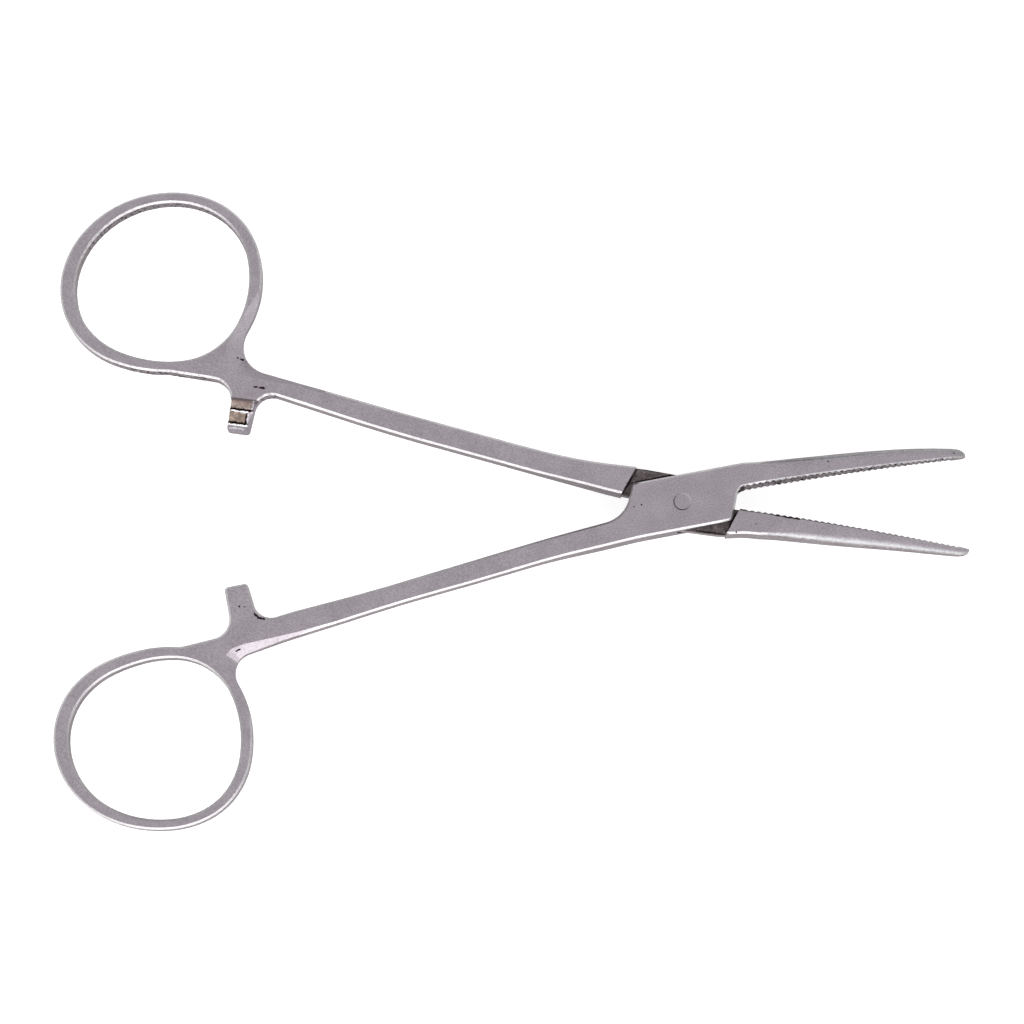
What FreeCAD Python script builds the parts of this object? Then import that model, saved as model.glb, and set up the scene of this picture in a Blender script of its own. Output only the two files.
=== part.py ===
import FreeCAD, Part
import math
import os

# Curved hemostat forceps, 140 mm when closed. All sizes are in millimetres and degrees.
# X runs along the closed jaws towards their tips, Y across the instrument and Z along the pivot,
# towards the side that shows. The origin is on the pivot axis, in the rear face of the box lock.
# Each half is drawn as it lies when the jaws are closed, and is then turned about the pivot.
# The half with the box has its ring at -Y, and the half with the web has its ring at +Y.

V = FreeCAD.Vector

# Opening of the instrument as it lies
opening_each_side = 9.35

# Box lock: the flat middle of the box half, with two cheeks and a slot between them
box_thickness = 5.0
box_half_width = 4.1
box_end_reach = 7.85
box_end_slant = 21.5
box_corner_radius = 0.4
cheek_corner_radius = 0.75
jaw_fork_radius = 1.3
shank_root_fillet = 4.8

# Web of the other half, which fills the slot
web_thickness = 1.7
web_side_play = 0.06
web_radius = 4.05
web_edge_rise = 0.25
web_lower_edge = -0.15
slot_end_play = 0.3
slot_floor_clearance = 0.2
shoulder_gap_rings = 0.65
shoulder_gap_jaws = 0.16
shoulder_swell_start = 5.0

# Rivet, with countersunk peened ends
rivet_radius = 0.95
rivet_head_radius = 1.25
rivet_head_depth = 0.45
rivet_running_clearance = 0.05

# Rims: every long edge of the forging is bevelled by this much
rim_bevel = 0.3

# Shanks: width where they leave the box, then distance along X, middle and width.
# The neck of the box half's shank stands a little outside the box; its inner edge is at a height.
shank_root = -6.0
box_shank_root_width = 3.5
box_shank_neck = -12.0
box_shank_neck_drop = 0.25
box_shank_neck_inner = -0.94
box_shank = [(-20.0, -3.105, 3.2), (-30.0, -4.09, 3.18), (-45.0, -5.595, 2.99),
             (-55.0, -6.63, 3.4), (-62.0, -7.355, 3.66), (-70.0, -8.65, 3.6), (-79.0, -9.2, 3.55)]
web_shank = [(-12.0, 2.255, 3.92), (-16.0, 2.56, 3.52), (-20.0, 2.975, 3.41), (-30.0, 4.295, 3.37),
             (-45.0, 6.335, 3.31), (-55.0, 7.95, 3.05), (-62.0, 9.08, 2.77), (-70.0, 10.3, 2.9),
             (-79.0, 10.9, 3.6)]
shank_thickness = 3.4
shank_taper_start = -9.5
shank_taper_end = -27.0

# Finger rings: mean radius of the hole, then how oval, pear shaped and square it is and which way,
# and the width of the band, with the side where it is widest
box_ring = dict(centre=(-82.86, -20.11), hole=12.42, oval=0.42, oval_turn=-5.0, pear=0.37, pear_turn=50.5,
                square=0.145, square_turn=43.5, band=1.8, band_swell=0.27, swell_turn=150.0,
                band_oval=0.18, band_oval_turn=-14.0, fork_fillet=3.0)
web_ring = dict(centre=(-81.38, 22.47), hole=12.67, oval=0.51, oval_turn=23.5, pear=0.29, pear_turn=-46.0,
                square=0.125, square_turn=41.0, band=1.85, band_swell=0.18, swell_turn=179.0,
                band_oval=0.26, band_oval_turn=16.0, fork_fillet=4.5)
ring_arc_pairs = 8

# Fork between each ring and its shank: the crease on the face where the broad outer bevel begins,
# with the direction in plan in which the bevel falls away
box_fork_crease = [((-52.0, -7.75), -96), ((-60.0, -8.4), -96), ((-65.0, -8.6), -92), ((-67.7, -8.67), -84),
                   ((-69.6, -9.0), -66), ((-70.75, -9.75), -42), ((-71.05, -11.5), -12),
                   ((-70.9, -13.0), 6), ((-70.45, -14.9), 11), ((-69.95, -17.0), 12), ((-69.4, -18.85), 9),
                   ((-69.0, -20.7), 4), ((-68.75, -23.5), -6)]
web_fork_crease = [((-55.0, 8.9), 98), ((-60.0, 9.65), 96), ((-64.6, 9.85), 92), ((-66.5, 9.95), 82),
                   ((-68.3, 10.2), 64), ((-69.6, 10.8), 42), ((-70.2, 12.3), 14), ((-70.35, 14.1), -4),
                   ((-70.0, 15.95), -12), ((-69.2, 18.1), -14), ((-68.4, 20.3), -11), ((-67.6, 21.9), -6),
                   ((-66.9, 24.3), 0)]
fork_bevel_slope = 28.0

# Ratchet arms: they stand across the shanks beside the rings and lie one behind the other
box_ratchet = dict(tip=0.18, left=-69.2, right=-65.7, root_right=-64.75)
web_ratchet = dict(tip=1.6, left=-68.87, right=-65.45, root_right=-64.8)
ratchet_root_fillet_outer = 3.0
ratchet_root_fillet_inner = 2.7
ratchet_tip_rounding = 0.6
ratchet_pitch = 2.1
ratchet_teeth = 2
ratchet_first_tooth = 1.25
ratchet_last_floor = 1.5
ratchet_tooth_height = 0.6
ratchet_catch_run = 0.4
ratchet_crest_run = 0.22
ratchet_crest_fall = 0.18
ratchet_wall_run = 0.2
ratchet_overlap = 0.25
ratchet_guard_at_tip = 0.7
ratchet_guard_at_root = 0.15

# Jaws: they curve away from the side that shows, and taper to a blunt tip.
# Stations give a value at shares of the jaw's length, from its root to its tip.
jaw_root = 12.0
jaw_length = 32.3
jaw_bend_radius = 90.0
jaw_half_heights = [(0.0, 2.5), (0.12, 2.42), (0.35, 2.05), (0.6, 1.62), (0.82, 1.25), (1.0, 1.02)]
box_jaw_outer = [(0.0, 3.8), (0.12, 3.57), (0.35, 3.16), (0.6, 2.62), (0.82, 1.93), (1.0, 1.05)]
web_jaw_outer = [(0.0, 3.35), (0.12, 3.18), (0.35, 2.9), (0.6, 2.3), (0.82, 1.74), (1.0, 1.18)]
jaw_back_rounding = [(0.0, 0.3), (0.12, 0.95), (0.35, 1.3), (0.6, 1.2), (0.82, 1.0), (1.0, 0.72)]
rounding_share_of_height = 0.9
rounding_share_of_width = 0.6
bevel_share_of_width = 0.3
box_bite = (0.54, -0.26)
web_bite = (0.15, 0.03)
tip_rounding_length = 1.35
tip_rounding_depth = 0.85
tip_rounding_steps = [0.0, 0.45, 0.75, 0.92, 1.0]

# Serrations across the gripping faces; they start before the root of the curved jaw
serration_pitch = 0.94
serration_depth = 0.2
serration_lead = 2.4
serration_end_margin = 0.9

# How far every cutting solid reaches past what it cuts
past = 1.5 * box_thickness

# Walls that turn less than this where they meet join smoothly and count as one
least_corner_turn = 5.0


def polar(radius, degrees):
    angle = math.radians(degrees)
    return V(radius * math.cos(angle), radius * math.sin(angle), 0)


def solid_from(edges, direction):
    """The solid that a closed outline sweeps along a direction."""
    wire = Part.Wire(Part.__sortEdges__(edges))
    return Part.Face(wire).extrude(direction)


def plate(points, low, high):
    """A flat plate on a closed outline of straight lines."""
    corners = [V(x, y, low) for x, y in points]
    outline = Part.makePolygon(corners + corners[:1])
    return Part.Face(outline).extrude(V(0, 0, high - low))


def arc_from(start, heading, end):
    """The arc that leaves start along heading and reaches end."""
    chord = end - start
    normal = V(-heading.y, heading.x, 0)
    bend = 2 * normal.dot(chord) / chord.dot(chord)
    if abs(bend) < 1e-5:
        return Part.makeLine(start, end)
    half_turn = math.atan2(normal.dot(chord), heading.dot(chord)) / 2
    halfway = FreeCAD.Rotation(V(0, 0, 1), math.degrees(half_turn)).multVec(heading)
    chord_to_middle = chord.Length / (2 * math.cos(half_turn))
    return Part.Arc(start, start + halfway * chord_to_middle, end).toShape()


def tangent_arcs(start, heading, end, end_heading):
    """Two arcs that join smoothly and carry one heading into the other."""
    chord = end - start
    spread = 2 * (1 - heading.dot(end_heading))
    along = chord.dot(heading + end_heading)
    if spread < 1e-9:
        reach = chord.dot(chord) / (2 * along)
    else:
        reach = (math.sqrt(along * along + spread * chord.dot(chord)) - along) / spread
    first = start + heading * reach
    second = end - end_heading * reach
    joint = (first + second) * 0.5
    return [arc_from(start, heading, joint), arc_from(joint, (second - first).normalize(), end)]


def shank_side(points):
    """One long edge of a shank, level with X where it leaves the box."""
    last = points[-1] - points[-2]
    curve = Part.BSplineCurve()
    curve.interpolate(Points=points, InitialTangent=V(-1, 0, 0), FinalTangent=last.normalize())
    return [curve.toShape()]


def upright(edge):
    box = edge.BoundBox
    return max(box.XLength, box.YLength) < 0.01


def corner_turn(shape, edge):
    """The angle between the two walls that meet in an upright edge."""
    place = edge.CenterOfMass
    walls = shape.ancestorsOfType(edge, Part.Face)
    normals = [wall.normalAt(*wall.Surface.parameter(place)) for wall in walls]
    return math.degrees(normals[0].getAngle(normals[1]))


def round_corner(shape, x, y, radius):
    """Round the sharp upright edge that stands nearest to a place in plan."""
    place = V(x, y, box_thickness / 2)
    uprights = sorted([edge for edge in shape.Edges if upright(edge)],
                      key=lambda edge: edge.CenterOfMass.distanceToPoint(place))
    for edge in uprights:
        if corner_turn(shape, edge) > least_corner_turn:
            return shape.makeFillet(radius, [edge])
    raise ValueError("no corner there")


def value_at(stations, share):
    for (s0, v0), (s1, v1) in zip(stations, stations[1:]):
        if s0 <= share <= s1:
            return v0 + (v1 - v0) * (share - s0) / (s1 - s0)
    raise ValueError("past the last station")


def shank_edge_height(stations, x, side):
    """Height in plan of one edge of a shank, straight between its stations."""
    edge = [(-at, middle + side * width / 2) for at, middle, width in stations]
    return value_at(edge, -x)


def shank_prism(stations):
    """The shank in plan, from inside the box to inside the ring, at the full thickness."""
    upper = [V(x, y + width / 2, 0) for x, y, width in stations]
    lower = [V(x, y - width / 2, 0) for x, y, width in stations]
    outline = shank_side(upper) + shank_side(lower)
    outline += [Part.makeLine(upper[-1], lower[-1]), Part.makeLine(lower[0], upper[0])]
    return solid_from(outline, V(0, 0, box_thickness))


def wave(degrees, turn, lobes):
    return math.cos(math.radians(lobes * (degrees - turn)))


def ring_point(ring, degrees, outer):
    """A point on the hole of a ring, or on its outside."""
    radius = ring["hole"]
    radius += ring["oval"] * wave(degrees, ring["oval_turn"], 2)
    radius += ring["pear"] * wave(degrees, ring["pear_turn"], 3)
    radius += ring["square"] * wave(degrees, ring["square_turn"], 4)
    if outer:
        radius += ring["band"] + ring["band_swell"] * wave(degrees, ring["swell_turn"], 1)
        radius += ring["band_oval"] * wave(degrees, ring["band_oval_turn"], 2)
    return V(ring["centre"][0], ring["centre"][1], 0) + polar(radius, degrees)


def ring_prism(ring, outer):
    """The hole of a ring as a solid, or with outer the whole disc, on an outline of tangent arcs."""
    points = []
    headings = []
    for step in range(ring_arc_pairs + 1):
        angle = 360.0 * step / ring_arc_pairs
        points.append(ring_point(ring, angle, outer))
        before = ring_point(ring, angle - 0.01, outer)
        headings.append((ring_point(ring, angle + 0.01, outer) - before).normalize())
    edges = []
    for index in range(ring_arc_pairs):
        edges += tangent_arcs(points[index], headings[index], points[index + 1], headings[index + 1])
    return solid_from(edges, V(0, 0, box_thickness))


def past_box_end(gap):
    """Everything past the slanted end of the box on its ring side, a gap away from it."""
    reach = box_end_reach + gap
    length = -shank_taper_end
    block = Part.makeBox(length, 2 * length, 3 * box_thickness, V(reach, -length, -box_thickness))
    block.rotate(V(0, 0, 0), V(0, 0, 1), 180.0 - box_end_slant)
    return block


def half_turned(block):
    """The same at the jaw end: half a turn about the pivot."""
    turned = block.copy()
    turned.rotate(V(0, 0, 0), V(0, 0, 1), 180.0)
    return turned


def side_profile():
    """The instrument from the side, up to the root of the jaws: thick at the box, thinner behind."""
    rear = (box_thickness - shank_thickness) / 2
    front = box_thickness - rear
    far = 2 * box_ring["centre"][0]
    middle = (shank_taper_start + shank_taper_end) / 2
    edges = [Part.makeLine(V(jaw_root, 0, 0), V(jaw_root, 0, box_thickness))]
    for box_z, shank_z in ((box_thickness, front), (0, rear)):
        slope = Part.BezierCurve()
        slope.setPoles([V(shank_taper_start, 0, box_z), V(middle, 0, box_z), V(middle, 0, shank_z),
                        V(shank_taper_end, 0, shank_z)])
        edges += [Part.makeLine(V(jaw_root, 0, box_z), V(shank_taper_start, 0, box_z)), slope.toShape(),
                  Part.makeLine(V(shank_taper_end, 0, shank_z), V(far, 0, shank_z))]
    edges.append(Part.makeLine(V(far, 0, front), V(far, 0, rear)))
    profile = solid_from(edges, V(0, -far, 0))
    profile.translate(V(0, far / 2, 0))
    return profile


def across_shoulder(edge, reach):
    """Whether an edge lies in the slanted end wall at this distance from the pivot."""
    normal = polar(1.0, -box_end_slant)
    return all(abs(abs(vertex.Point.dot(normal)) - reach) < 0.01 for vertex in edge.Vertexes)


def rim_edges(shape):
    """The long edges round the front and the rear, without lines across, shoulders and the web."""
    reaches = (box_end_reach + shoulder_gap_rings, box_end_reach + shoulder_gap_jaws)
    chosen = []
    for edge in shape.Edges:
        box = edge.BoundBox
        across = box.XLength < 0.001
        inside = abs(box.Center.z - box_thickness / 2) < web_thickness / 2 + 0.01
        shoulder = any(across_shoulder(edge, reach) for reach in reaches)
        if not (upright(edge) or across or inside or shoulder):
            chosen.append(edge)
    return chosen


def ratchet_plan(ratchet, root):
    """The ratchet arm in plan, from inside the shank to its tip."""
    outline = [(ratchet["left"], root), (ratchet["left"], ratchet["tip"]),
               (ratchet["right"], ratchet["tip"]), (ratchet["root_right"], root)]
    return plate(outline, 0, box_thickness)


def forged_blank(shank, ring, ratchet, middle_plan, side):
    """Ring, shank, ratchet arm and middle in plan, with the rounded corners between them.

    side is +1 for the half whose ring lies at +Y when the jaws are closed, and -1 for the other.
    """
    arm_root = shank_edge_height(shank, (ratchet["left"] + ratchet["right"]) / 2, 0)
    body = shank_prism(shank)
    body = body.fuse([ring_prism(ring, True), ratchet_plan(ratchet, arm_root)] + middle_plan)
    body = body.removeSplitter()
    for x, radius in ((ratchet["root_right"], ratchet_root_fillet_inner),
                      (ratchet["left"], ratchet_root_fillet_outer)):
        body = round_corner(body, x, shank_edge_height(shank, x, -side), radius)
    for x in (ratchet["left"], ratchet["right"]):
        body = round_corner(body, x, ratchet["tip"], ratchet_tip_rounding)
    fork_y = shank_edge_height(shank, ratchet["left"], side)
    return round_corner(body, ratchet["left"], fork_y, ring["fork_fillet"])


def fork_bevels(crease):
    """What the broad bevels outside the fork take off, at the front and at the rear."""
    rear = (box_thickness - shank_thickness) / 2
    front = box_thickness - rear
    reach = shank_thickness
    fall = reach * math.tan(math.radians(fork_bevel_slope))
    cuts = []
    for face_z, outwards in ((front, 1), (rear, -1)):
        wires = []
        for (x, y), degrees in crease:
            start = V(x, y, face_z)
            away = polar(reach, degrees)
            lift = V(0, 0, outwards)
            corners = [start, start + away - lift * fall, start + away + lift, start + lift]
            wires.append(Part.makePolygon(corners + corners[:1]))
        cuts.append(Part.makeLoft(wires, True, True))
    return cuts


def ratchet_cut(ratchet, side):
    """What is cut off the arm's inner half: sawteeth whose steep sides face the arm's own shank.

    The teeth leave a low guard along the arm's edge on the pivot's side.
    """
    tip = ratchet["tip"]
    crest = ratchet_overlap
    floor = crest - ratchet_tooth_height
    wall = ratchet_first_tooth + (ratchet_teeth - 1) * ratchet_pitch + ratchet_last_floor
    left = ratchet["left"] - past
    width = 2 * past
    far = -past
    points = [(far, crest - ratchet_tooth_height / 2), (0, crest - ratchet_tooth_height / 2)]
    for tooth in range(ratchet_teeth):
        steep = ratchet_first_tooth + tooth * ratchet_pitch
        points.append((steep - ratchet_crest_run, crest - ratchet_crest_fall))
        points.append((steep, crest))
        points.append((steep + ratchet_catch_run, floor))
    points.append((wall, floor))
    top = points + [(wall + ratchet_wall_run, box_thickness), (far, box_thickness)]
    teeth = [V(left, tip + side * along, high) for along, high in top]
    profile = Part.Face(Part.makePolygon(teeth + teeth[:1])).extrude(V(width, 0, 0))
    near = ratchet["root_right"] - ratchet_guard_at_root
    guard = plate([(left, tip - side * past), (ratchet["right"] - ratchet_guard_at_tip, tip - side * past),
                   (ratchet["right"] - ratchet_guard_at_tip, tip), (near, tip + side * wall),
                   (near, tip + side * (wall + past)), (left, tip + side * (wall + past))],
                  -box_thickness, box_thickness)
    above = [V(left, tip + side * far, crest), V(left, tip + side * (wall + ratchet_wall_run / 2), crest),
             V(left, tip + side * (wall + ratchet_wall_run), box_thickness),
             V(left, tip + side * far, box_thickness)]
    opened = Part.Face(Part.makePolygon(above + above[:1])).extrude(V(width, 0, 0))
    cut = profile.common(guard).fuse(opened)
    if side < 0:
        cut = cut.mirror(V(0, 0, 0), V(0, 0, 1))
    cut.translate(V(0, 0, box_thickness / 2))
    return cut


def jaw_frame(share):
    """Placement on the curved middle line of the jaws: X along the jaw, Z across its height."""
    turn = jaw_length * share / jaw_bend_radius
    x = jaw_root + jaw_bend_radius * math.sin(turn)
    z = box_thickness / 2 - jaw_bend_radius * (1 - math.cos(turn))
    return FreeCAD.Placement(V(x, 0, z), FreeCAD.Rotation(V(0, 1, 0), math.degrees(turn)))


def bite_height(bite, share):
    """Height in plan of a gripping face, which runs straight from its root to its tip."""
    return bite[0] + (bite[1] - bite[0]) * share


def jaw_section(side, bite, outer, share, inset):
    """Flat gripping face with bevelled edges, and a back whose corners grow round towards the tip."""
    half = value_at(jaw_half_heights, share) - inset / 2
    inner_y = bite_height(bite, share)
    outer_y = side * (value_at(outer, share) - inset)
    width = abs(outer_y - inner_y)
    back_size = min(value_at(jaw_back_rounding, share), rounding_share_of_height * half,
                    rounding_share_of_width * width)
    edge_size = min(rim_bevel, bevel_share_of_width * width)
    stops = []
    for y, z_side, back in ((inner_y, -1, False), (outer_y, -1, True), (outer_y, 1, True), (inner_y, 1, False)):
        size = back_size if back else edge_size
        y_in = y - side * size if back else y + side * size
        centre = V(0, y_in, z_side * (half - size))
        bulge = centre + (V(0, y, z_side * half) - centre).normalize() * size
        ends = [V(0, y, z_side * (half - size)), V(0, y_in, z_side * half)]
        if back == (z_side < 0):
            ends.reverse()
        stops.append((ends[0], bulge, ends[1], back and share > 0))
    edges = []
    for index, (first, bulge, last, rounded) in enumerate(stops):
        if rounded:
            edges.append(Part.Arc(first, bulge, last).toShape())
        else:
            edges.append(Part.makeLine(first, last))
        edges.append(Part.makeLine(last, stops[(index + 1) % 4][0]))
    wire = Part.Wire(edges)
    wire.Placement = jaw_frame(share)
    return wire


def serration_cuts(side, bite):
    """The V grooves side by side across a gripping face, each open as wide as the pitch."""
    cuts = []
    count = int((jaw_length + serration_lead - serration_end_margin) / serration_pitch)
    for index in range(count):
        share = ((index + 0.5) * serration_pitch - serration_lead) / jaw_length
        face_y = bite_height(bite, max(share, 0))
        points = [V(-serration_pitch, face_y - side * serration_depth, 0),
                  V(0, face_y + side * serration_depth, 0),
                  V(serration_pitch, face_y - side * serration_depth, 0)]
        groove = Part.Face(Part.makePolygon(points + points[:1])).extrude(V(0, 0, 2 * box_thickness))
        groove.translate(V(0, 0, -box_thickness))
        groove.Placement = jaw_frame(share).multiply(groove.Placement)
        cuts.append(groove)
    return cuts


def jaw(side, bite, outer):
    """The curved, tapered jaw, with its blunt tip rounded."""
    tip_start = 1.0 - tip_rounding_length / jaw_length
    shares = [share for share, width in outer if share < tip_start] + [tip_start]
    solid = Part.makeLoft([jaw_section(side, bite, outer, share, 0) for share in shares], True, False)
    sections = []
    for step in tip_rounding_steps:
        share = tip_start + (1.0 - tip_start) * step
        inset = tip_rounding_depth * (1 - math.sqrt(1 - step * step))
        sections.append(jaw_section(side, bite, outer, share, inset))
    return solid.fuse(Part.makeLoft(sections, True, True))


def rivet_solid():
    """The rivet on its axis; its ends fill the countersinks in the cheeks."""
    points = [V(0, 0, 0), V(rivet_head_radius, 0, 0), V(rivet_radius, 0, rivet_head_depth),
              V(rivet_radius, 0, box_thickness - rivet_head_depth), V(rivet_head_radius, 0, box_thickness),
              V(0, 0, box_thickness)]
    face = Part.Face(Part.makePolygon(points + points[:1]))
    return face.revolve(V(0, 0, 0), V(0, 0, 1), 360)


def box_half():
    """Ring, ratchet arm and shank, the box with its slot, and the jaw on the other side."""
    tan = math.tan(math.radians(box_end_slant))
    end_x = box_end_reach / math.cos(math.radians(box_end_slant))
    near = end_x - box_half_width * tan
    far = end_x + box_half_width * tan
    box = plate([(-near, box_half_width), (-far, -box_half_width), (near, -box_half_width),
                 (far, box_half_width)], 0, box_thickness)
    jaw_inner = bite_height(box_bite, 0)
    jaw_base = plate([(0, jaw_inner), (jaw_root, jaw_inner), (jaw_root, box_jaw_outer[0][1]),
                      (far, box_half_width), (0, box_half_width)], 0, box_thickness)
    start = (shank_root, box_shank_root_width / 2 - box_half_width, box_shank_root_width)
    neck_outer = -box_half_width - box_shank_neck_drop
    neck = (box_shank_neck, (box_shank_neck_inner + neck_outer) / 2, box_shank_neck_inner - neck_outer)
    shank = [start, neck] + box_shank
    body = forged_blank(shank, box_ring, box_ratchet, [box, jaw_base], -1)
    shank_inner = shank_edge_height(shank, -end_x, 1)
    body = round_corner(body, -end_x + tan * shank_inner, shank_inner, shank_root_fillet)
    body = round_corner(body, end_x + tan * jaw_inner, jaw_inner, jaw_fork_radius)
    body = round_corner(body, near, -box_half_width, cheek_corner_radius)
    body = round_corner(body, -near, box_half_width, box_corner_radius)
    body = body.cut(ring_prism(box_ring, False))
    body = body.common(side_profile())
    body = body.makeChamfer(rim_bevel, rim_edges(body))
    body = body.cut(fork_bevels(box_fork_crease) + [ratchet_cut(box_ratchet, -1)])
    slot_low = (box_thickness - web_thickness) / 2 - web_side_play
    slot_high = box_thickness - slot_low
    slot = Part.makeCylinder(web_radius + slot_end_play, slot_high - slot_low, V(0, 0, slot_low))
    floor = web_lower_edge - slot_floor_clearance
    open_end = 2 * far
    open_side = 3 * box_half_width
    ring_side = plate([(0, floor), (-open_end, floor), (-open_end, open_side), (0, open_side)],
                      slot_low, slot_high)
    jaw_side = plate([(0, jaw_inner), (open_end, jaw_inner), (open_end, -open_side), (0, -open_side)],
                     slot_low, slot_high)
    body = body.cut([slot.fuse([ring_side, jaw_side])])
    body = body.cut(rivet_solid())
    body = body.fuse(jaw(1, box_bite, box_jaw_outer)).removeSplitter()
    return body.cut(serration_cuts(1, box_bite))


def web_half():
    """Ring, ratchet arm and shank, the thin web through the slot, and the jaw on the other side."""
    jaw_inner = bite_height(web_bite, 0)
    jaw_outer = -web_jaw_outer[0][1]
    web_upper_edge = web_radius + web_edge_rise
    swell_start = V(shoulder_swell_start, -web_radius, 0)
    swell_end = V(jaw_root - rim_bevel, jaw_outer, 0)
    corners = [swell_start, V(0, -web_radius, 0), V(0, jaw_inner, 0), V(jaw_root, jaw_inner, 0),
               V(jaw_root, jaw_outer, 0), swell_end]
    edges = [Part.makeLine(first, second) for first, second in zip(corners, corners[1:])]
    edges += tangent_arcs(swell_start, V(1, 0, 0), swell_end, V(1, 0, 0))
    jaw_base = solid_from(edges, V(0, 0, box_thickness))
    strap = plate([(0, web_lower_edge), (shank_root, web_lower_edge), (shank_root, web_upper_edge),
                   (0, web_radius)], 0, box_thickness)
    disc = Part.makeCylinder(web_radius, box_thickness)
    start = (shank_root, (web_upper_edge + web_lower_edge) / 2, web_upper_edge - web_lower_edge)
    body = forged_blank([start] + web_shank, web_ring, web_ratchet, [jaw_base, strap, disc], 1)
    body = body.cut(ring_prism(web_ring, False))
    body = body.common(side_profile())
    length = -shank_taper_end
    between = Part.makeBox(2 * length, 2 * length, 3 * box_thickness, V(-length, -length, -box_thickness))
    between = between.cut([past_box_end(shoulder_gap_rings), half_turned(past_box_end(shoulder_gap_jaws))])
    web_low = (box_thickness - web_thickness) / 2
    layer = Part.makeBox(2 * length, 2 * length, web_thickness, V(-length, -length, web_low))
    body = body.cut(between.cut(layer))
    body = body.makeChamfer(rim_bevel, rim_edges(body))
    body = body.cut(fork_bevels(web_fork_crease) + [ratchet_cut(web_ratchet, 1)])
    bore = Part.makeCylinder(rivet_radius + rivet_running_clearance, box_thickness)
    body = body.cut(bore)
    body = body.fuse(jaw(-1, web_bite, web_jaw_outer)).removeSplitter()
    return body.cut(serration_cuts(-1, web_bite))


def write(shape, name, turn):
    shape.rotate(V(0, 0, 0), V(0, 0, 1), turn)
    solid = shape.Solids[0] if len(shape.Solids) == 1 else shape
    print(name, "solids", len(shape.Solids), "valid", shape.isValid(), "volume", round(shape.Volume, 1))
    solid.exportStep("parts/" + name + ".step")


os.makedirs("parts", exist_ok=True)
write(box_half(), "female_half", opening_each_side)
write(web_half(), "male_half", -opening_each_side)
write(rivet_solid(), "pivot_rivet", opening_each_side)
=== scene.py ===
# %% [markdown]
# Curved hemostat forceps. The construction model gives three pieces: two forged halves and the
# rivet that joins them. Here they get clean, smooth skins and a satin steel finish with the wear of
# the real instrument, and are lit and seen as in the photograph. The shapes stay those of the
# construction, because a second model made by eye would only move away from it.

import math

import bpy
from mathutils import Matrix, Vector


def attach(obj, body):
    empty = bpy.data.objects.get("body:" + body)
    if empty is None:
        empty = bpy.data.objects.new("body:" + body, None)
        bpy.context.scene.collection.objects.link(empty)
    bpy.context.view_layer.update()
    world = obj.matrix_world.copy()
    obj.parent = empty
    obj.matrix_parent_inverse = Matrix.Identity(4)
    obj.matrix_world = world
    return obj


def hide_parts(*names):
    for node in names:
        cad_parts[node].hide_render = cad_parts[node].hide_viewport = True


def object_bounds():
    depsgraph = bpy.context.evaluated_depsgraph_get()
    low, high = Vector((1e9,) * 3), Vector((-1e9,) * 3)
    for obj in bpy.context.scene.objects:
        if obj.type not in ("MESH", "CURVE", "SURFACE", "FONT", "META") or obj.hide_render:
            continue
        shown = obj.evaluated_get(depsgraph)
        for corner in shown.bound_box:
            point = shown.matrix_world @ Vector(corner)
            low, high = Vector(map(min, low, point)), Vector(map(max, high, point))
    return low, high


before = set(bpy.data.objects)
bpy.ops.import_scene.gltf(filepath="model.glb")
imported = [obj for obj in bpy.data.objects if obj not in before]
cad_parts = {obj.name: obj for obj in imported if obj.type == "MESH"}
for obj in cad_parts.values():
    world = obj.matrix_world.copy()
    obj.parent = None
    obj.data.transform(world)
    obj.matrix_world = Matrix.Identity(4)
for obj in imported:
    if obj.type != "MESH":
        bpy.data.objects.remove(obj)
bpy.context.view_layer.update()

MM = 0.001

# %% [markdown]
# The camera looks down on the instrument, 9 degrees off the upright, from the side of its lower
# ring. A long lens keeps both rings nearly undistorted. The place is measured from the pin's front
# face, and the whole view is turned a little, because the instrument lies a little askew. Moved by
# hand, a camera is seldom right to a tenth of a degree, so it is placed by numbers.

# %% Camera
LENS = 142.0
SENSOR_WIDTH = 36.0
BOX_THICKNESS = 5.0 * MM
CAMERA_TILT = math.radians(9.0)
PICTURE_ROLL = math.radians(-1.44)
CAMERA_FROM_PIN = Vector((-25.3, -95.4, 592.4)) * MM

camera_data = bpy.data.cameras.new("camera")
camera_data.lens = LENS
camera_data.sensor_width = SENSOR_WIDTH
camera = bpy.data.objects.new("camera", camera_data)
bpy.context.scene.collection.objects.link(camera)
pin_face = Matrix.Translation((0, 0, BOX_THICKNESS)) @ Matrix.Rotation(PICTURE_ROLL, 4, "Z")
from_pin = Matrix.Translation(CAMERA_FROM_PIN) @ Matrix.Rotation(CAMERA_TILT, 4, "X")
camera.matrix_world = pin_face @ from_pin
bpy.context.scene.camera = camera
bpy.context.scene.view_settings.view_transform = "Standard"
print("camera at", [round(value, 4) for value in camera.matrix_world.translation])

# %% [markdown]
# The construction meshes are loose triangles. A copy of each is merged into one closed skin,
# slivers are dissolved, and the triangles of each flat become one face. Then comes the shading.
# Edges could be marked sharp by their angle, but a sliver would then join a flat to a wall. So
# each face corner takes the mean direction of those faces round it that turn gently from its own
# face, and large faces count most. Flats stay flat up to their bevels, and fillets shade smooth.

# %% Shading of the face corners
GENTLE_TURN = math.radians(27.5)


def shade_corners(mesh):
    """Set the direction of every face corner from the faces round it, weighed by area."""
    faces = [(polygon.normal.copy(), polygon.area) for polygon in mesh.polygons]
    around = [[] for _ in mesh.vertices]
    for polygon in mesh.polygons:
        for vertex in polygon.vertices:
            around[vertex].append(faces[polygon.index])
    corners = []
    for polygon in mesh.polygons:
        own, _ = faces[polygon.index]
        for vertex in polygon.vertices:
            gentle = [normal * area for normal, area in around[vertex]
                      if own.dot(normal) > math.cos(GENTLE_TURN)]
            corners.append(sum(gentle, Vector()).normalized() if gentle else own)
    mesh.normals_split_custom_set(corners)


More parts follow.
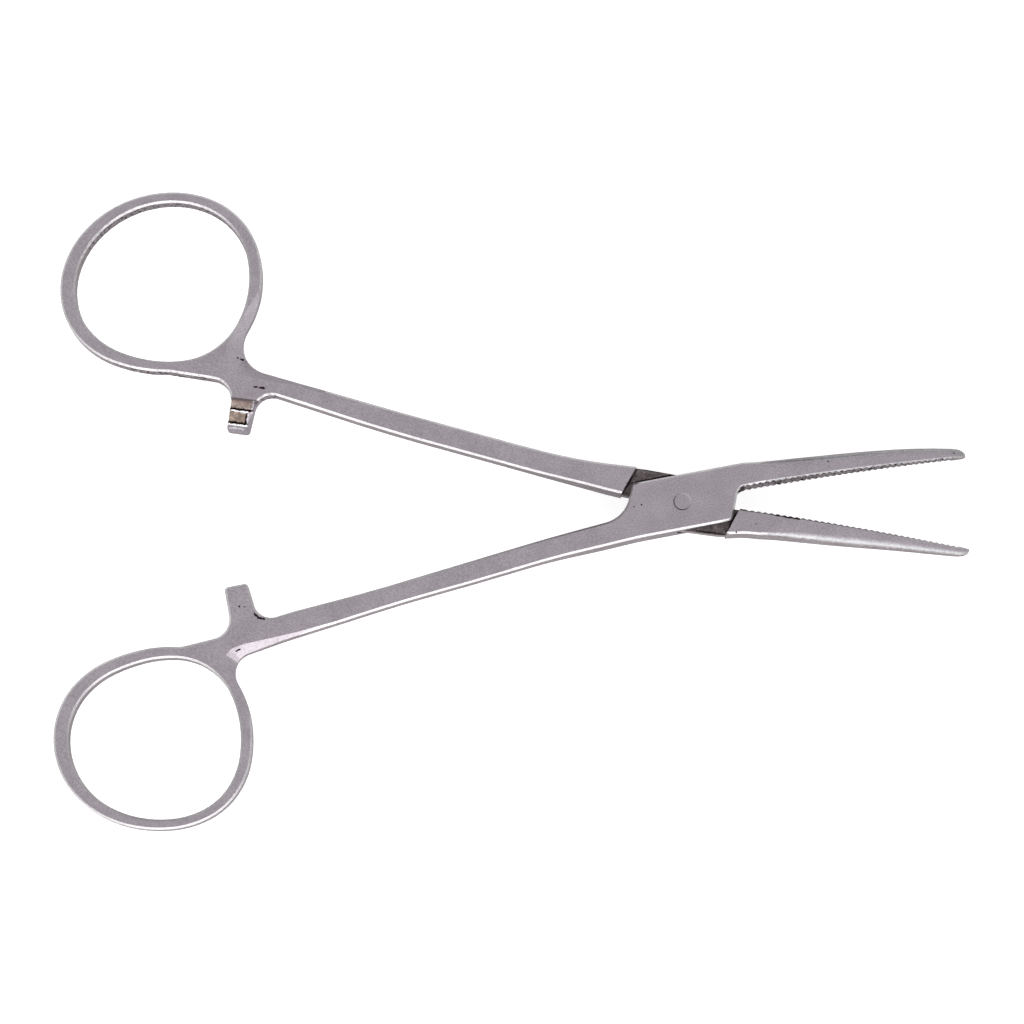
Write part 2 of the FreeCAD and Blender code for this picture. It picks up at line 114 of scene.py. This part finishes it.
# %% Smooth skins in place of the loose triangles
MERGE_DISTANCE = 0.008 * MM
FLAT_ANGLE = math.radians(0.4)


def skin_of(node, name, body):
    """A merged copy of a node's mesh that stands for the node."""
    piece = bpy.data.objects.new(name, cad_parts[node].data.copy())
    bpy.context.scene.collection.objects.link(piece)
    bpy.ops.object.select_all(action="DESELECT")
    piece.select_set(True)
    bpy.context.view_layer.objects.active = piece
    before = len(piece.data.polygons)
    bpy.ops.object.mode_set(mode="EDIT")
    bpy.ops.mesh.select_all(action="SELECT")
    bpy.ops.mesh.remove_doubles(threshold=MERGE_DISTANCE)
    bpy.ops.mesh.dissolve_degenerate(threshold=MERGE_DISTANCE)
    bpy.ops.mesh.dissolve_limited(angle_limit=FLAT_ANGLE)
    bpy.ops.object.mode_set(mode="OBJECT")
    bpy.ops.object.shade_smooth()
    shade_corners(piece.data)
    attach(piece, body)
    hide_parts(node)
    print(name, "faces", before, "->", len(piece.data.polygons))
    return piece


box_forging = skin_of("female_half", "box_half_forging", "box_half")
web_forging = skin_of("male_half", "web_half_forging", "web_half")
rivet = skin_of("pivot_rivet", "rivet_flush", "box_half")

# %% [markdown]
# Each pattern of the steel is a shader group, so that it is built once and used in several
# materials. Written out node by node, a group takes hundreds of lines. A few short helpers add a
# node, feed its sockets and hand back its result, so that a pattern reads like a sum.

# %% Helpers for shader groups
def new_group(name, inputs, outputs):
    """A shader group with its sockets, given as name and kind."""
    group = bpy.data.node_groups.new(name, "ShaderNodeTree")
    for label, kind in inputs:
        group.interface.new_socket(name=label, in_out="INPUT", socket_type="NodeSocket" + kind)
    for label, kind in outputs:
        group.interface.new_socket(name=label, in_out="OUTPUT", socket_type="NodeSocket" + kind)
    start = group.nodes.new("NodeGroupInput")
    end = group.nodes.new("NodeGroupOutput")
    return group, start.outputs, end.inputs


def use_group(tree, group):
    """A group placed in a tree."""
    step = tree.nodes.new("ShaderNodeGroup")
    step.node_tree = group
    return step


def feed(tree, socket, value):
    """Link another node's socket to this one, or write a plain value on it."""
    if isinstance(value, bpy.types.NodeSocket):
        tree.links.new(value, socket)
    else:
        socket.default_value = value


def maths(tree, operation, first, second=0.0):
    """One step of arithmetic."""
    step = tree.nodes.new("ShaderNodeMath")
    step.operation = operation
    feed(tree, step.inputs[0], first)
    feed(tree, step.inputs[1], second)
    return step.outputs[0]


def ramp(tree, value, low, high, to_low=0.0, to_high=1.0):
    """A smooth step from to_low at low to to_high at high."""
    step = tree.nodes.new("ShaderNodeMapRange")
    step.interpolation_type = "SMOOTHSTEP"
    for name, number in (("Value", value), ("From Min", low), ("From Max", high),
                         ("To Min", to_low), ("To Max", to_high)):
        feed(tree, step.inputs[name], number)
    return step.outputs["Result"]


# %% Helpers for noise and place
NOISE_SPAN = (0.3, 0.7)     # nearly all values of a noise texture lie between these


def noise(tree, place, scale, detail, roughness):
    """Noise that is fixed to the object; scale is in lumps to the metre."""
    step = tree.nodes.new("ShaderNodeTexNoise")
    tree.links.new(place, step.inputs["Vector"])
    step.inputs["Scale"].default_value = scale
    step.inputs["Detail"].default_value = detail
    step.inputs["Roughness"].default_value = roughness
    return step.outputs["Fac"]


def turned_back(tree, vector, angle):
    """The parts of a vector after it is turned back about the upright axis."""
    spin = tree.nodes.new("ShaderNodeVectorRotate")
    spin.rotation_type = "Z_AXIS"
    tree.links.new(vector, spin.inputs["Vector"])
    tree.links.new(maths(tree, "MULTIPLY", angle, -1.0), spin.inputs["Angle"])
    parts = tree.nodes.new("ShaderNodeSeparateXYZ")
    tree.links.new(spin.outputs[0], parts.inputs[0])
    return parts.outputs


def where(tree):
    """The place on the object, whole and in parts, and the parts of the surface's facing."""
    spot = tree.nodes.new("ShaderNodeTexCoord")
    place = tree.nodes.new("ShaderNodeSeparateXYZ")
    facing = tree.nodes.new("ShaderNodeSeparateXYZ")
    tree.links.new(spot.outputs["Object"], place.inputs[0])
    tree.links.new(spot.outputs["Normal"], facing.inputs[0])
    return spot.outputs["Object"], place.outputs, facing.outputs


# %% [markdown]
# Wear is made of small marks: dashes, ticks and dots, and the same marks paint thin lines of
# shade. They could be cut into the mesh, but they are shallower than a hair. So one mark is an
# ellipse with a ragged edge, at a place and turn on the piece. Its group puts out a mask, and the
# material darkens the steel there and sinks it.

# %% Mark group
RAGGED = (3500.0, 2.0, 0.5)     # scale, detail and roughness of the noise
RAGGED_REACH = 0.15
MARK_FADE = (0.6, 0.4)

mark, mark_in, mark_out = new_group(
    "mark", [("Place", "Vector"), ("Turn", "Float"), ("Length", "Float"), ("Width", "Float")],
    [("Mask", "Float")])
spot, _, _ = where(mark)
offset = mark.nodes.new("ShaderNodeVectorMath")
offset.operation = "SUBTRACT"
feed(mark, offset.inputs[0], spot)
feed(mark, offset.inputs[1], mark_in["Place"])
parts = turned_back(mark, offset.outputs[0], mark_in["Turn"])
along = maths(mark, "DIVIDE", parts["X"], mark_in["Length"])
across = maths(mark, "DIVIDE", parts["Y"], mark_in["Width"])
reach = maths(mark, "SQRT", maths(mark, "ADD", maths(mark, "MULTIPLY", along, along),
                                  maths(mark, "MULTIPLY", across, across)))
ragged = maths(mark, "ADD", reach, ramp(mark, noise(mark, spot, *RAGGED), *NOISE_SPAN,
                                        -RAGGED_REACH, RAGGED_REACH))
mark.links.new(ramp(mark, ragged, *MARK_FADE), mark_out["Mask"])
print("mark nodes", len(mark.nodes))


def mark_mask(tree, shape):
    """The mask of one mark: x, y, turn in degrees, length and width, in millimetres."""
    x, y, turn, length, width = shape
    one = use_group(tree, mark)
    one.inputs["Place"].default_value = (x * MM, y * MM, 0.0)
    one.inputs["Turn"].default_value = math.radians(turn)
    one.inputs["Length"].default_value = length * MM
    one.inputs["Width"].default_value = width * MM
    return one.outputs["Mask"]


# %% [markdown]
# Each ratchet arm has two brown floors. The catch faces between them are painted black as shade,
# and so is a line along one floor's rim; painted highlights lie on the crests, along the rims and
# on the tip. Their borders are straight, so each is a soft-edged rectangle and not a mark. The
# group measures along the arm from its tip, in the frame of the closed instrument, and puts out one
# mask for each finish and for the painted shade and highlights. The other arm has the same teeth
# on its rear.

# %% Helpers for masks
SOFT_BORDER = 0.05 * MM


def band(tree, value, low, high):
    """A mask between low and high, with soft ends."""
    return maths(tree, "MULTIPLY", ramp(tree, value, low - SOFT_BORDER, low + SOFT_BORDER),
                 ramp(tree, value, high + SOFT_BORDER, high - SOFT_BORDER))


def together(tree, operation, masks):
    """All masks of a list taken together by one operation."""
    whole = masks[0]
    for mask in masks[1:]:
        whole = maths(tree, operation, whole, mask)
    return whole


# %% Ratchet group
WANDER = (3000.0, 3.0, 0.5)
WANDER_REACH = 0.09 * MM
LEVEL_LIMIT = 0.6     # a face that looks further along the instrument than this is no floor
TEETH = {     # start and stop along the arm, left and right across it, in millimetres
    "Root": [(3.7, 4.9, -3.4, 0.0)],
    "Floor": [(1.6, 3.1, -3.4, -0.72)],
    # the catch boxes are painted shade, the crest boxes painted highlight
    "Catch shade": [(1.22, 1.65, -3.4, -0.55), (3.3, 3.78, -3.4, 0.0), (1.5, 3.1, -0.75, -0.55)],
    "Crest highlight": [(3.15, 3.3, -3.0, -0.5), (0.5, 0.72, -2.9, -0.6), (3.4, 5.2, 0.02, 0.2),
              (1.3, 3.0, -0.45, -0.27)]}

teeth, teeth_in, teeth_out = new_group(
    "ratchet teeth", [("Turn", "Float"), ("Tip", "Float"), ("Way", "Float"), ("Edge", "Float")],
    [("Root", "Float"), ("Floor", "Float"), ("Catch shade", "Float"), ("Crest highlight", "Float")])
spot, _, facing = where(teeth)
parts = turned_back(teeth, spot, teeth_in["Turn"])
wander = ramp(teeth, noise(teeth, spot, *WANDER), *NOISE_SPAN, -WANDER_REACH, WANDER_REACH)
from_tip = maths(teeth, "SUBTRACT", parts["Y"], teeth_in["Tip"])
along = maths(teeth, "ADD", wander, maths(teeth, "MULTIPLY", teeth_in["Way"], from_tip))
across = maths(teeth, "ADD", wander, maths(teeth, "SUBTRACT", parts["X"], teeth_in["Edge"]))
level = maths(teeth, "LESS_THAN", maths(teeth, "ABSOLUTE", facing["X"]), LEVEL_LIMIT)
for name, boxes in TEETH.items():
    mask = together(teeth, "MAXIMUM", [
        maths(teeth, "MULTIPLY", band(teeth, along, start * MM, stop * MM),
              band(teeth, across, left * MM, right * MM))
        for start, stop, left, right in boxes])
    if name != "Crest highlight":
        mask = maths(teeth, "MULTIPLY", mask, level)
    teeth.links.new(mask, teeth_out[name])
print("ratchet nodes", len(teeth.nodes))


def teeth_masks(tree, turn, tip, way, edge):
    """The masks of one arm; tip and edge in millimetres of the closed instrument."""
    arm = use_group(tree, teeth)
    for name, value in (("Turn", math.radians(turn)), ("Tip", tip * MM), ("Way", way),
                        ("Edge", edge * MM)):
        arm.inputs[name].default_value = value
    return arm.outputs


# %% [markdown]
# The steel is one metal with several finishes, and each has its place on the forging. Flats are
# satin, bevels and rounded backs polished, and the upright walls rougher; their darker tone is
# painted shade, standing for the shadowed floor close by that they reflect. The slot's web lies
# level in the middle layer and stays as forged, and so do the ratchet's floors. Faces could be
# given one material each, but then every border would follow the mesh. So direction, height and
# place choose the finish, and the painted shade and highlights of the ratchet.

# %% Where each finish lies
POLISHED_FACING = (0.96, 0.86)     # the upright part of the facing: 1 on a flat, 0 on a wall
EDGE_FACING = (0.86, 0.78)
WALL_FACING = (0.86, 0.40)
WEB_FACING = 0.94
MIDDLE_LAYER = (1.5 * MM, 3.5 * MM)
JAW_SHOULDER_X = 12.5 * MM
RATCHET_X = -50.0 * MM
WEB_ARM = (-9.35, 1.6, 1.0, -65.65)     # turn in degrees, tip, way, edge
BOX_ARM = (9.35, 0.18, -1.0, -65.9)

finish, _, finish_out = new_group("steel finish", [], [("Color", "Color"), ("Roughness", "Float"),
                                                       ("Height", "Float"), ("Wall", "Float")])
spot, place, facing = where(finish)
upward = maths(finish, "ABSOLUTE", facing["Z"])
polished = ramp(finish, upward, *POLISHED_FACING)
edge = ramp(finish, upward, *EDGE_FACING)
wall = ramp(finish, upward, *WALL_FACING)
finish.links.new(wall, finish_out["Wall"])
layer = maths(finish, "MULTIPLY", maths(finish, "GREATER_THAN", place["Z"], MIDDLE_LAYER[0]),
              maths(finish, "LESS_THAN", place["Z"], MIDDLE_LAYER[1]))
at_jaw = maths(finish, "GREATER_THAN", place["X"], JAW_SHOULDER_X)
behind_jaw = maths(finish, "SUBTRACT", 1.0, at_jaw)
edge = maths(finish, "MULTIPLY", edge, behind_jaw)
web = together(finish, "MULTIPLY", [
    layer, maths(finish, "GREATER_THAN", upward, WEB_FACING), behind_jaw,
    maths(finish, "GREATER_THAN", place["X"], RATCHET_X)])
arms = [teeth_masks(finish, *arm) for arm in (WEB_ARM, BOX_ARM)]
at_ratchet = maths(finish, "MULTIPLY", layer, maths(finish, "LESS_THAN", place["X"], RATCHET_X))
# the catch mask is painted shade and the crest mask painted highlight
root, floor, catch_shade, crest_highlight = [
    maths(finish, "MULTIPLY", at_ratchet, maths(finish, "MAXIMUM", arms[0][name], arms[1][name]))
    for name in ("Root", "Floor", "Catch shade", "Crest highlight")]
forge_skin = together(finish, "MAXIMUM", [web, root, floor])
uneven = maths(finish, "MAXIMUM", wall, forge_skin)
print("finish nodes for the places", len(finish.nodes))

# %% [markdown]
# The colour is laid on in the order of the places, from the satin flat to the painted highlight on
# the last crest. The flats are mauve grey, the jaws' backs cooler, the sharp edges light and the
# web brown grey; the walls are darkened and the catch faces blackened as painted shade.
# One even tone would look like plastic, so fine grain and wide clouds vary it a little, and specks
# vary it more on the walls and most on the skin that the forge left.

# %% Helpers for mixing
def mix_colour(tree, factor, first, second):
    """A mix of two colours; a Mix node keeps them at its sockets 6 and 7."""
    step = tree.nodes.new("ShaderNodeMix")
    step.data_type = "RGBA"
    for index, value in ((0, factor), (6, first), (7, second)):
        feed(tree, step.inputs[index], value)
    return step.outputs[2]


def mix_number(tree, factor, first, second):
    """A mix of two numbers; a Mix node keeps them at its sockets 2 and 3."""
    step = tree.nodes.new("ShaderNodeMix")
    for index, value in ((0, factor), (2, first), (3, second)):
        feed(tree, step.inputs[index], value)
    return step.outputs[0]


# %% Colours of the steel
SATIN = (0.322, 0.290, 0.319, 1.0)
POLISHED = (0.345, 0.314, 0.342, 1.0)
JAW_BACK = (0.29, 0.288, 0.298, 1.0)
EDGE = (0.46, 0.45, 0.46, 1.0)
# painted shade: the walls' darker tone stands for the shadowed floor they reflect
SHADED_WALL = (0.24, 0.218, 0.228, 1.0)
WEB = (0.115, 0.098, 0.098, 1.0)
RATCHET_ROOT = (0.46, 0.37, 0.335, 1.0)
RATCHET_FLOOR = (0.265, 0.205, 0.175, 1.0)
# painted shade on the catch faces and along a rim, painted highlight on the crests, rims and tip
CATCH_SHADE = (0.012, 0.006, 0.005, 1.0)
CREST_HIGHLIGHT = (0.62, 0.61, 0.64, 1.0)

colour = mix_colour(finish, polished, SATIN, mix_colour(finish, at_jaw, POLISHED, JAW_BACK))
# the wall, catch and crest tones paint shade and highlight into the colour
for mask, tint in ((edge, EDGE), (wall, SHADED_WALL), (web, WEB), (root, RATCHET_ROOT),
                   (floor, RATCHET_FLOOR), (catch_shade, CATCH_SHADE), (crest_highlight, CREST_HIGHLIGHT)):
    colour = mix_colour(finish, mask, colour, tint)
print("finish nodes with the colours", len(finish.nodes))

# %% Grain, clouds and specks
GRAIN = (4600.0, 2.0, 0.6)
CLOUDS = (260.0, 4.0, 0.5)
SPECKS = (1500.0, 3.0, 0.7)
GRAIN_SPAN = (0.25, 0.75)
GRAIN_TONE = (0.80, 1.20)
CLOUD_TONE = (0.94, 1.06)
WALL_SPECKS = (0.82, 1.18)
FORGE_SPECKS = (0.55, 1.45)

grain = noise(finish, spot, *GRAIN)
clouds = noise(finish, spot, *CLOUDS)
specks = noise(finish, spot, *SPECKS)
tone = maths(finish, "MULTIPLY", ramp(finish, grain, *GRAIN_SPAN, *GRAIN_TONE),
             ramp(finish, clouds, *NOISE_SPAN, *CLOUD_TONE))
speckled = mix_number(finish, wall, 1.0, ramp(finish, specks, *NOISE_SPAN, *WALL_SPECKS))
speckled = mix_number(finish, forge_skin, speckled,
                      ramp(finish, specks, *NOISE_SPAN, *FORGE_SPECKS))
tinted = finish.nodes.new("ShaderNodeVectorMath")
tinted.operation = "SCALE"
feed(finish, tinted.inputs[0], colour)
feed(finish, tinted.inputs["Scale"], maths(finish, "MULTIPLY", tone, speckled))
finish.links.new(tinted.outputs[0], finish_out["Color"])
print("finish nodes with the grain", len(finish.nodes))

# %% [markdown]
# Polish shows as a sharper reflection, and the skin of the forge as a dull one. The same grain and
# specks that vary the colour also lift the surface, so that light and tone agree.

# %% Roughness and relief of the steel
SATIN_ROUGHNESS = 0.36
POLISHED_ROUGHNESS = 0.27
UNEVEN_ROUGHNESS = 0.5
GRAIN_HEIGHT = 0.25
SPECK_HEIGHT = 0.8

smooth = mix_number(finish, polished, SATIN_ROUGHNESS, POLISHED_ROUGHNESS)
finish.links.new(mix_number(finish, uneven, smooth, UNEVEN_ROUGHNESS), finish_out["Roughness"])
relief = maths(finish, "ADD", maths(finish, "MULTIPLY", grain, GRAIN_HEIGHT),
               maths(finish, "MULTIPLY", maths(finish, "MULTIPLY", specks, uneven), SPECK_HEIGHT))
finish.links.new(relief, finish_out["Height"])
print("finish nodes in all", len(finish.nodes))

# %% [markdown]
# The rivet is ground flush, so only a hairline seam shows round its head, as a thin dark joint.
# Its shading is painted: painted shade deepens it on the side that faces away from the light, and a
# painted highlight lies along it on the other side. It is far finer than a gap in the mesh could
# be, so it is drawn by its distance from the pin's axis, on the box and the rivet alike.

# %% Seam group, with painted shade and highlight
SEAM_RADIUS = 1.25 * MM
SEAM_HALF_WIDTH = 0.12 * MM
SEAM_CORE = 0.3 * SEAM_HALF_WIDTH
SHADED_SIDE = (0.6, -0.9, 0.15, 1.0)     # side from and to, share of the tone from and to
HIGHLIGHT_SIDE = (0.5, 1.4)

seam, _, seam_out = new_group("rivet seam painted shade and highlight", [], [("Dark", "Float"), ("Light", "Float")])
_, place, _ = where(seam)
radius = maths(seam, "SQRT", maths(seam, "ADD", maths(seam, "MULTIPLY", place["X"], place["X"]),
                                   maths(seam, "MULTIPLY", place["Y"], place["Y"])))
from_seam = maths(seam, "ABSOLUTE", maths(seam, "SUBTRACT", radius, SEAM_RADIUS))
line = ramp(seam, from_seam, SEAM_HALF_WIDTH, SEAM_CORE)
side = maths(seam, "DIVIDE", maths(seam, "ADD", place["X"], place["Y"]), radius)
# painted shade on the side away from the light, painted highlight on the other
dark = maths(seam, "MULTIPLY", line, ramp(seam, side, *SHADED_SIDE))
light = maths(seam, "MULTIPLY", line, ramp(seam, side, *HIGHLIGHT_SIDE))
seam.links.new(dark, seam_out["Dark"])
seam.links.new(light, seam_out["Light"])
print("seam nodes", len(seam.nodes))

# %% [markdown]
# Each half has its own material, because its marks are its own, and all share the finish. Marks
# and pits are filled with dull dark dirt. The same dull dark tone is painted shade in the lines
# where the web goes into the box, along the box jaw's bite and on one side of the rivet's seam.
# None of it is metal, so it stays dark from every side. A bare metal turns white where it is seen
# at a low angle. The tint at that angle is held back, because the real walls are not polished
# enough for it.

# %% Steel material
GRAZING_TINT = (0.62, 0.59, 0.61, 1.0)
# dark dirt in marks and pits, and painted shade in the gap lines, the bite and the seam
DIRT_AND_SHADE_TONE = (0.018, 0.012, 0.015, 1.0)
SEAM_HIGHLIGHT_TONE = (0.62, 0.6, 0.62, 1.0)
SEAM_SHADE_SHARE = 0.9
SEAM_HIGHLIGHT_SHARE = 0.5
PITS = (1900.0, 3.0, 0.6)
PIT_EDGE = (0.5, 0.57)
MARK_DEPTH = 2.0     # in bump distances, as the grain's and the specks' heights are
BUMP_STRENGTH = 0.3
BUMP_DISTANCE = 0.03 * MM


def steel(name, marks, pits_and_shade=(), with_seam=False):
    """Satin steel with marks, pits, painted shade and, round the pin, the seam's painted shade and
    highlight.
    """
    material = bpy.data.materials.new(name)
    material.use_nodes = True
    tree = material.node_tree
    shader = tree.nodes["Principled BSDF"]
    shader.inputs["Metallic"].default_value = 1.0
    shader.inputs["Specular IOR Level"].default_value = 0.0
    shader.inputs["Specular Tint"].default_value = GRAZING_TINT
    steel_finish = use_group(tree, finish)
    colour = steel_finish.outputs["Color"]
    height = steel_finish.outputs["Height"]
    if with_seam:
        hairline = use_group(tree, seam).outputs
        # painted shade on one side of the seam, painted highlight on the other
        for side, share, tone in (("Dark", SEAM_SHADE_SHARE, DIRT_AND_SHADE_TONE), ("Light", SEAM_HIGHLIGHT_SHARE, SEAM_HIGHLIGHT_TONE)):
            shown = maths(tree, "MULTIPLY", hairline[side], share)
            colour = mix_colour(tree, shown, colour, tone)
    # marks and pits, and the painted shade lines in the gaps and along the bite
    worn_and_shaded = [mark_mask(tree, shape) for shape in marks]
    if pits_and_shade:
        # the patch along the box jaw's bite is painted shade of its grooves, broken into spots by
        # the pits
        patch = together(tree, "MAXIMUM", [mark_mask(tree, shape) for shape in pits_and_shade])
        spot = tree.nodes.new("ShaderNodeTexCoord").outputs["Object"]
        pits = ramp(tree, noise(tree, spot, *PITS), *PIT_EDGE)
        worn_and_shaded.append(together(tree, "MULTIPLY", [patch, pits, steel_finish.outputs["Wall"]]))
    if worn_and_shaded:
        dirt_and_shade = together(tree, "MAXIMUM", worn_and_shaded)
        colour = mix_colour(tree, dirt_and_shade, colour, DIRT_AND_SHADE_TONE)
        tree.links.new(maths(tree, "SUBTRACT", 1.0, dirt_and_shade), shader.inputs["Metallic"])
        height = maths(tree, "SUBTRACT", height, maths(tree, "MULTIPLY", dirt_and_shade, MARK_DEPTH))
    tree.links.new(colour, shader.inputs["Base Color"])
    tree.links.new(steel_finish.outputs["Roughness"], shader.inputs["Roughness"])
    bump = tree.nodes.new("ShaderNodeBump")
    bump.inputs["Strength"].default_value = BUMP_STRENGTH
    bump.inputs["Distance"].default_value = BUMP_DISTANCE
    tree.links.new(height, bump.inputs["Height"])
    tree.links.new(bump.outputs["Normal"], shader.inputs["Normal"])
    print(name, "nodes", len(tree.nodes))
    return material


# %% [markdown]
# The marks lie where the photograph shows them: dashes on the arms, dots on the flats and pitted
# walls, and painted shadow lines where the web goes into the box and painted shade along the box
# jaw's bite. Scattered by chance the dashes and dots would be wear too, but not this instrument's
# wear. Each is x, y, turn in degrees, length and width in millimetres.

# %% Marks of the box half
BOX_MARKS = [
    (-63.62, -15.33, -50, 1.2, 0.36), (-62.86, -15.83, -11, 1.2, 0.36),     # arm's root
    (-66.08, -13.96, 0, 0.36, 0.34), (-65.34, -14.04, 0, 0.24, 0.24),       # arm
    (-66.34, -20.41, 25, 0.8, 0.22),                                        # ring's neck
    (-7.2, -0.56, 10, 0.3, 0.2), (-6.11, -0.34, 20, 0.34, 0.2),             # box
    (9.4, 1.65, -8, 1.5, 1.0),                                              # corner of the bite
    (21.96, 5.67, 0, 0.26, 0.26), (41.39, 7.39, 0, 0.3, 0.3)]               # jaw
# the second patch is painted shade in the grooves of the box jaw's bite; the first holds pits
BOX_PITS_AND_BITE_SHADE = [(-4.0, -6.4, 12, 9.0, 2.6), (25.9, 4.55, 8.7, 34.0, 2.4)]
box_steel = steel("satin_steel_box_half", BOX_MARKS, BOX_PITS_AND_BITE_SHADE, with_seam=True)

# %% Marks and painted shadow lines of the web half
WEB_MARKS_AND_SHADOW_LINES = [
    (-63.12, 19.05, -6, 0.8, 0.32), (-62.18, 18.9, -8, 1.0, 0.38),          # arm's root
    (-65.84, 23.72, 0, 0.36, 0.26), (-65.12, 23.48, -15, 0.6, 0.36),        # ring's neck
    # painted shadow lines in the gap and corners where the web goes into the box, shank side
    (-4.03, 3.8, 9.8, 7.0, 0.34), (-7.7, 3.43, 58.3, 4.2, 0.26),            # web, shank side
    (-3.66, 4.88, -9.6, 5.2, 0.2),
    # painted shadow lines in the gap where the web goes into the box, jaw side
    (7.34, -3.06, 63.9, 3.9, 0.3), (3.94, -4.48, -9.1, 4.8, 0.26),          # web, jaw side
    (14.21, -2.37, -12, 1.4, 0.38), (15.7, -2.71, -12, 1.7, 0.38),          # jaw's bite
    (16.9, -2.93, -12, 1.2, 0.32),
    (10.82, -3.63, 0, 0.25, 0.2), (7.87, -4.75, 0, 0.25, 0.25)]             # jaw's shoulder
WEB_PITTED = [(-76.8, 42.4, 0, 23.0, 11.6), (-76.6, 21.8, -8, 17.0, 3.0),
              (-61.7, 17.8, -10, 4.0, 1.2)]
web_steel = steel("satin_steel_web_half", WEB_MARKS_AND_SHADOW_LINES, WEB_PITTED)

# %% [markdown]
# The skins still carry the construction's plain materials. These are cleared first, so that each
# piece has one material only. The rivet has the same steel and seam, and no marks.

# %% Materials on their pieces
rivet_steel = steel("satin_steel_rivet", [], with_seam=True)
for piece, material in ((box_forging, box_steel), (web_forging, web_steel), (rivet, rivet_steel)):
    piece.data.materials.clear()
    piece.data.materials.append(material)
    print(piece.name, "has", material.name)

# %% [markdown]
# The instrument lies on a plain white sheet. A glow alone would make it white, but lose the shadow.
# So the sheet is a real surface that takes the shadow, with a little glow for the eye and for
# reflections, so that it reads as white.

# %% Floor
SHEET_SIZE = 3.0
SHEET_GREY = (0.8, 0.8, 0.8, 1.0)
SHEET_ROUGHNESS = 0.9
SHEET_GLOW = 0.42
WHITE = (1.0, 1.0, 1.0, 1.0)

bpy.ops.object.select_all(action="DESELECT")
bpy.ops.mesh.primitive_plane_add(size=SHEET_SIZE, location=(0, 0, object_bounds()[0][2]))
sheet = bpy.context.active_object
sheet.name = "white_sheet"
paper = bpy.data.materials.new("white_sheet")
paper.use_nodes = True
tree = paper.node_tree
shader = tree.nodes["Principled BSDF"]
shader.inputs["Base Color"].default_value = SHEET_GREY
shader.inputs["Roughness"].default_value = SHEET_ROUGHNESS
shader.inputs["Specular IOR Level"].default_value = 0.0
shader.inputs["Emission Color"].default_value = WHITE
ray = tree.nodes.new("ShaderNodeLightPath").outputs
seen = together(tree, "MAXIMUM", [ray["Is Camera Ray"], ray["Is Glossy Ray"],
                                  ray["Is Transmission Ray"]])
tree.links.new(maths(tree, "MULTIPLY", seen, SHEET_GLOW), shader.inputs["Emission Strength"])
sheet.data.materials.append(paper)
print("sheet at height", round(sheet.location.z, 5))

# %% [markdown]
# In the photograph the near bevels are almost white, the flats mid grey and the far edges dark.
# Lamps could do that, but they throw hard shadows and small highlights. A soft sky does it without:
# even overhead, over three times as bright low on the near side, and dim in a narrow band along
# the far horizon.

# %% Light
NEAR_GLOW = 2.6
NEAR_SPREAD = 1.7
FAR_FALL = 0.9
FAR_BAND = (0.9, 1.0)

world = bpy.data.worlds.new("soft_sky")
bpy.context.scene.world = world
world.use_nodes = True
sky = world.node_tree
direction = sky.nodes.new("ShaderNodeTexCoord")
axes = sky.nodes.new("ShaderNodeSeparateXYZ")
sky.links.new(direction.outputs["Generated"], axes.inputs[0])
near = maths(sky, "MAXIMUM", maths(sky, "MULTIPLY", axes.outputs["Y"], -1.0), 0.0)
near = maths(sky, "MULTIPLY", maths(sky, "POWER", near, NEAR_SPREAD), NEAR_GLOW)
far = maths(sky, "MULTIPLY", ramp(sky, axes.outputs["Y"], *FAR_BAND), FAR_FALL)
brightness = maths(sky, "SUBTRACT", maths(sky, "ADD", 1.0, near), far)
background = sky.nodes["Background"]
background.inputs["Color"].default_value = WHITE
sky.links.new(brightness, background.inputs["Strength"])
print("sky from", round(1.0 - FAR_FALL, 2), "to", 1.0 + NEAR_GLOW)
